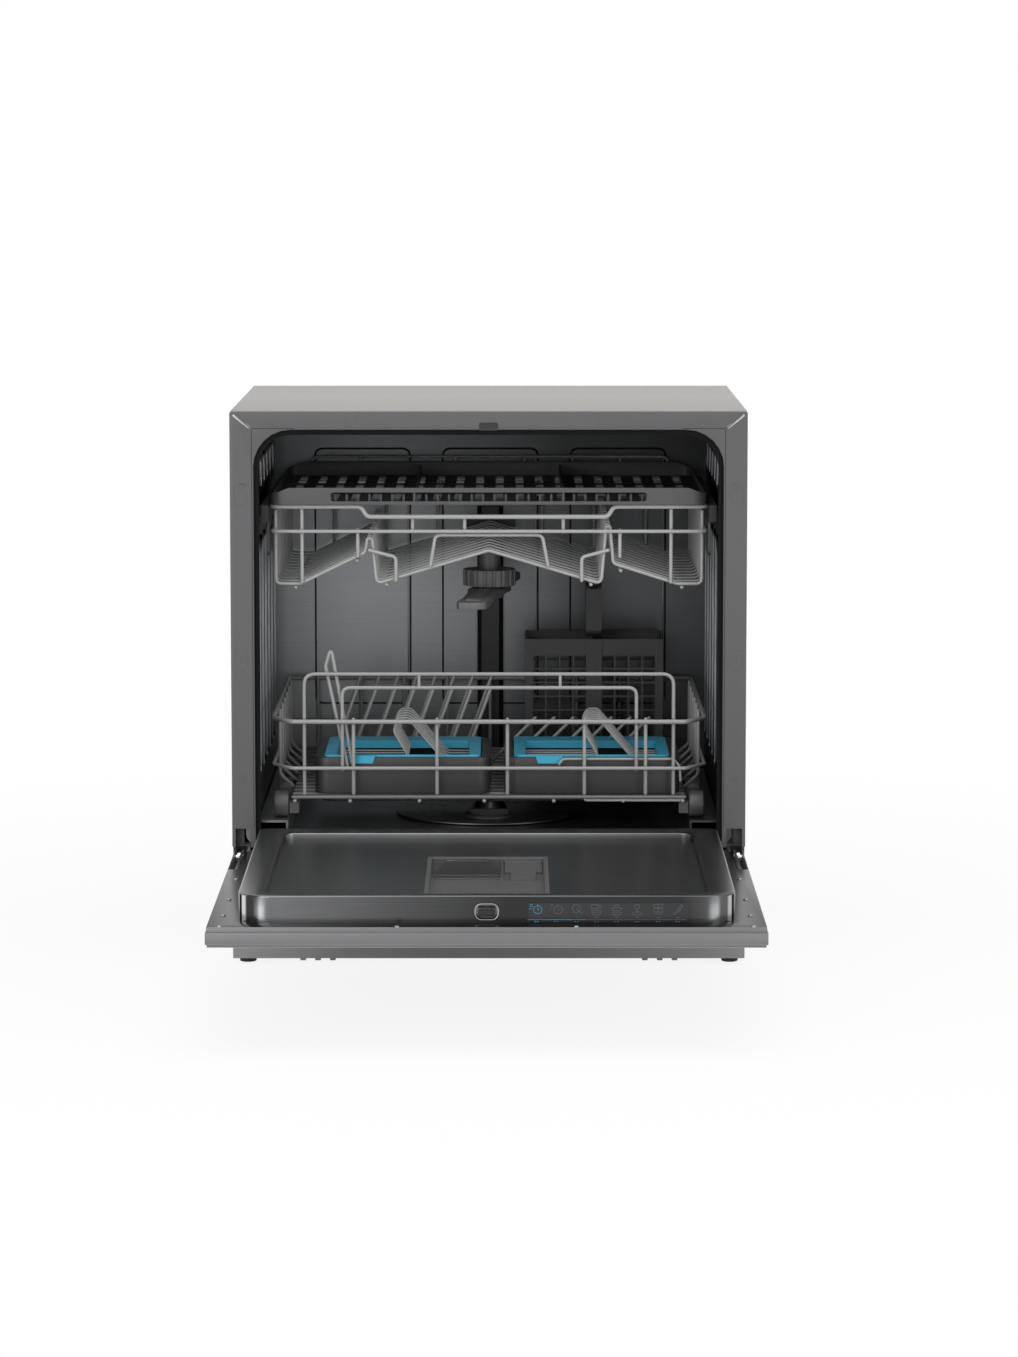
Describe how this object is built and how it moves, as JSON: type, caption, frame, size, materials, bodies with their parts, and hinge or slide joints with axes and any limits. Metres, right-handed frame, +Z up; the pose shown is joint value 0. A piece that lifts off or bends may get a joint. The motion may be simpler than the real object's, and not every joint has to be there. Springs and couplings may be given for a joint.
{
  "type": "countertop dishwasher",
  "caption": "Countertop dishwasher with a drop-down door, two sliding wire baskets, folding tine rows, spray arms, cutlery basket and tray",
  "frame": {"origin": "middle of the floor area that the part covers with its door open, at the floor", "axes": "+Z up, +Y from the open door towards the back of the cabinet, +X to the right seen from the front"},
  "size_m": [0.55, 0.963, 0.595],
  "materials": {
    "base_plastic": "fine grained moulded grey plastic",
    "foot_rubber": "black rubber",
    "cabinet_steel": "satin grey metallic paint",
    "top_steel": "pale warm grey coated sheet",
    "dark_steel": "dark zinc plated steel",
    "tub_steel": "stainless steel with a soft sheen",
    "seal_rubber": "black elastomer",
    "black_plastic": "black polypropylene",
    "bright_steel": "bright plated steel",
    "dark_plastic": "dark grey polypropylene",
    "arm_plastic": "mid grey polypropylene",
    "door_steel": "satin grey metallic paint",
    "liner_steel": "brushed stainless steel",
    "control_gloss": "gloss black film",
    "lid_smoke": "smoked gloss plastic",
    "basket_wire": "light grey polyamide coated wire",
    "insert_plastic": "dark grey moulded plastic",
    "blue_plastic": "satin light blue plastic"
  },
  "bodies": {
    "cabinet": {"base_tray": "base_plastic", "feet": "foot_rubber", "side_panels": "cabinet_steel", "top_cover": "top_steel", "back_panel": "cabinet_steel", "front_frame": "cabinet_steel", "pocket_beam": "dark_steel", "tub": "tub_steel", "door_seal": "seal_rubber", "latch_striker": "black_plastic", "hinge_brackets": "dark_steel", "hinge_pins": "bright_steel", "sump": "dark_plastic", "filter_plate": "tub_steel", "filter_cup": "dark_plastic", "wash_pump": "black_plastic", "drain_pump": "black_plastic", "water_inlet": "dark_plastic", "water_column": "black_plastic", "docking_head": "black_plastic", "lower_rails": "tub_steel"},
    "lower_arm": {"lower_spray_arm": "arm_plastic"},
    "door": {"door_panel": "door_steel", "door_liner": "liner_steel", "control_strip": "control_gloss", "dispenser_body": "dark_plastic", "latch_housing": "bright_steel", "hinge_arms": "bright_steel"},
    "detergent_lid": {"detergent_lid": "lid_smoke"},
    "rinse_aid_flap": {"rinse_aid_flap": "dark_plastic"},
    "latch_bolt": {"latch_bolt": "black_plastic"},
    "lower_basket": {"lower_rim_wires": "basket_wire", "lower_floor_wires": "basket_wire", "lower_runners": "basket_wire", "lower_fences": "basket_wire", "roller_brackets": "dark_plastic", "tine_clips": "black_plastic", "tray_inserts": "insert_plastic", "tray_frames": "blue_plastic", "tray_racks": "basket_wire", "cutlery_basket": "dark_plastic"},
    "rollers_1": {"lower_rollers_1": "dark_plastic"},
    "rollers_2": {"lower_rollers_2": "dark_plastic"},
    "rollers_3": {"lower_rollers_3": "dark_plastic"},
    "rollers_4": {"lower_rollers_4": "dark_plastic"},
    "tines_left_front": {"tine_row_left_front": "basket_wire"},
    "tines_left_rear": {"tine_row_left_rear": "basket_wire"},
    "tines_right": {"tine_row_right": "basket_wire"},
    "upper_basket": {"upper_rim_wires": "basket_wire", "upper_floor_wires": "basket_wire", "upper_fences": "basket_wire", "upper_rails": "bright_steel", "height_plates": "dark_plastic", "feed_pipe": "dark_plastic", "ring_nut": "arm_plastic", "cutlery_tray": "dark_plastic"},
    "upper_arm": {"upper_spray_arm": "arm_plastic"},
    "rail_rollers_front": {"rail_rollers_front": "black_plastic"},
    "rail_rollers_rear": {"rail_rollers_rear": "black_plastic"}
  },
  "joints": [
    {"name": "door_hinge", "type": "hinge", "parent": "cabinet", "child": "door", "pos_m": [0, -0.0065, 0.118], "axis": [-1, 0, 0], "range_deg": [0, 90]},
    {"name": "lower_basket_slide", "type": "slide", "parent": "cabinet", "child": "lower_basket", "axis": [0, 1, 0], "range_m": [-0.385, 0]},
    {"name": "upper_basket_slide", "type": "slide", "parent": "cabinet", "child": "upper_basket", "axis": [0, 1, 0], "range_m": [-0.3, 0]},
    {"name": "lower_arm_spin", "type": "hinge", "parent": "cabinet", "child": "lower_arm", "pos_m": [0, 0.2285, 0.15], "axis": [0, 0, 1], "continuous": true},
    {"name": "upper_arm_spin", "type": "hinge", "parent": "upper_basket", "child": "upper_arm", "pos_m": [0, 0.2185, 0.385], "axis": [0, 0, 1], "continuous": true},
    {"name": "detergent_lid_slide", "type": "slide", "parent": "door", "child": "detergent_lid", "axis": [0, 1, 0], "range_m": [-0.07, 0]},
    {"name": "rinse_aid_hinge", "type": "hinge", "parent": "door", "child": "rinse_aid_flap", "pos_m": [0.036, -0.214, 0.1465], "axis": [-1, 0, 0], "range_deg": [0, 90]},
    {"name": "latch_bolt_slide", "type": "slide", "parent": "door", "child": "latch_bolt", "axis": [0, 1, 0], "range_m": [0, 0.003], "stiffness_N_per_m": 900},
    {"name": "tines_left_front_fold", "type": "hinge", "parent": "lower_basket", "child": "tines_left_front", "pos_m": [-0.106, 0.227, 0.18085], "axis": [1, 0, 0], "range_deg": [-85, 0]},
    {"name": "tines_left_rear_fold", "type": "hinge", "parent": "lower_basket", "child": "tines_left_rear", "pos_m": [-0.106, 0.327, 0.18085], "axis": [1, 0, 0], "range_deg": [-85, 0]},
    {"name": "tines_right_fold", "type": "hinge", "parent": "lower_basket", "child": "tines_right", "pos_m": [0.06, 0.247, 0.18085], "axis": [1, 0, 0], "range_deg": [-85, 0]},
    {"name": "rollers_1_roll", "type": "hinge", "parent": "lower_basket", "child": "rollers_1", "pos_m": [0, 0.057, 0.1673], "axis": [1, 0, 0], "range_deg": [0, 1580]},
    {"name": "rollers_2_roll", "type": "hinge", "parent": "lower_basket", "child": "rollers_2", "pos_m": [0, 0.159, 0.1673], "axis": [1, 0, 0], "range_deg": [0, 1580]},
    {"name": "rollers_3_roll", "type": "hinge", "parent": "lower_basket", "child": "rollers_3", "pos_m": [0, 0.3025, 0.1673], "axis": [1, 0, 0], "range_deg": [0, 1580]},
    {"name": "rollers_4_roll", "type": "hinge", "parent": "lower_basket", "child": "rollers_4", "pos_m": [0, 0.4105, 0.1673], "axis": [1, 0, 0], "range_deg": [0, 1580]},
    {"name": "rail_rollers_front_roll", "type": "hinge", "parent": "cabinet", "child": "rail_rollers_front", "pos_m": [0, 0.0495, 0.484], "axis": [1, 0, 0], "range_deg": [0, 2300]},
    {"name": "rail_rollers_rear_roll", "type": "hinge", "parent": "cabinet", "child": "rail_rollers_rear", "pos_m": [0, 0.1155, 0.484], "axis": [1, 0, 0], "range_deg": [0, 2300]}
  ],
  "couplings": [
    {"joint": "rollers_1_roll", "follows": "lower_basket_slide", "rad_per_m": -71.429},
    {"joint": "rollers_2_roll", "follows": "lower_basket_slide", "rad_per_m": -71.429},
    {"joint": "rollers_3_roll", "follows": "lower_basket_slide", "rad_per_m": -71.429},
    {"joint": "rollers_4_roll", "follows": "lower_basket_slide", "rad_per_m": -71.429},
    {"joint": "rail_rollers_front_roll", "follows": "upper_basket_slide", "rad_per_m": -133.33},
    {"joint": "rail_rollers_rear_roll", "follows": "upper_basket_slide", "rad_per_m": -133.33}
  ]
}
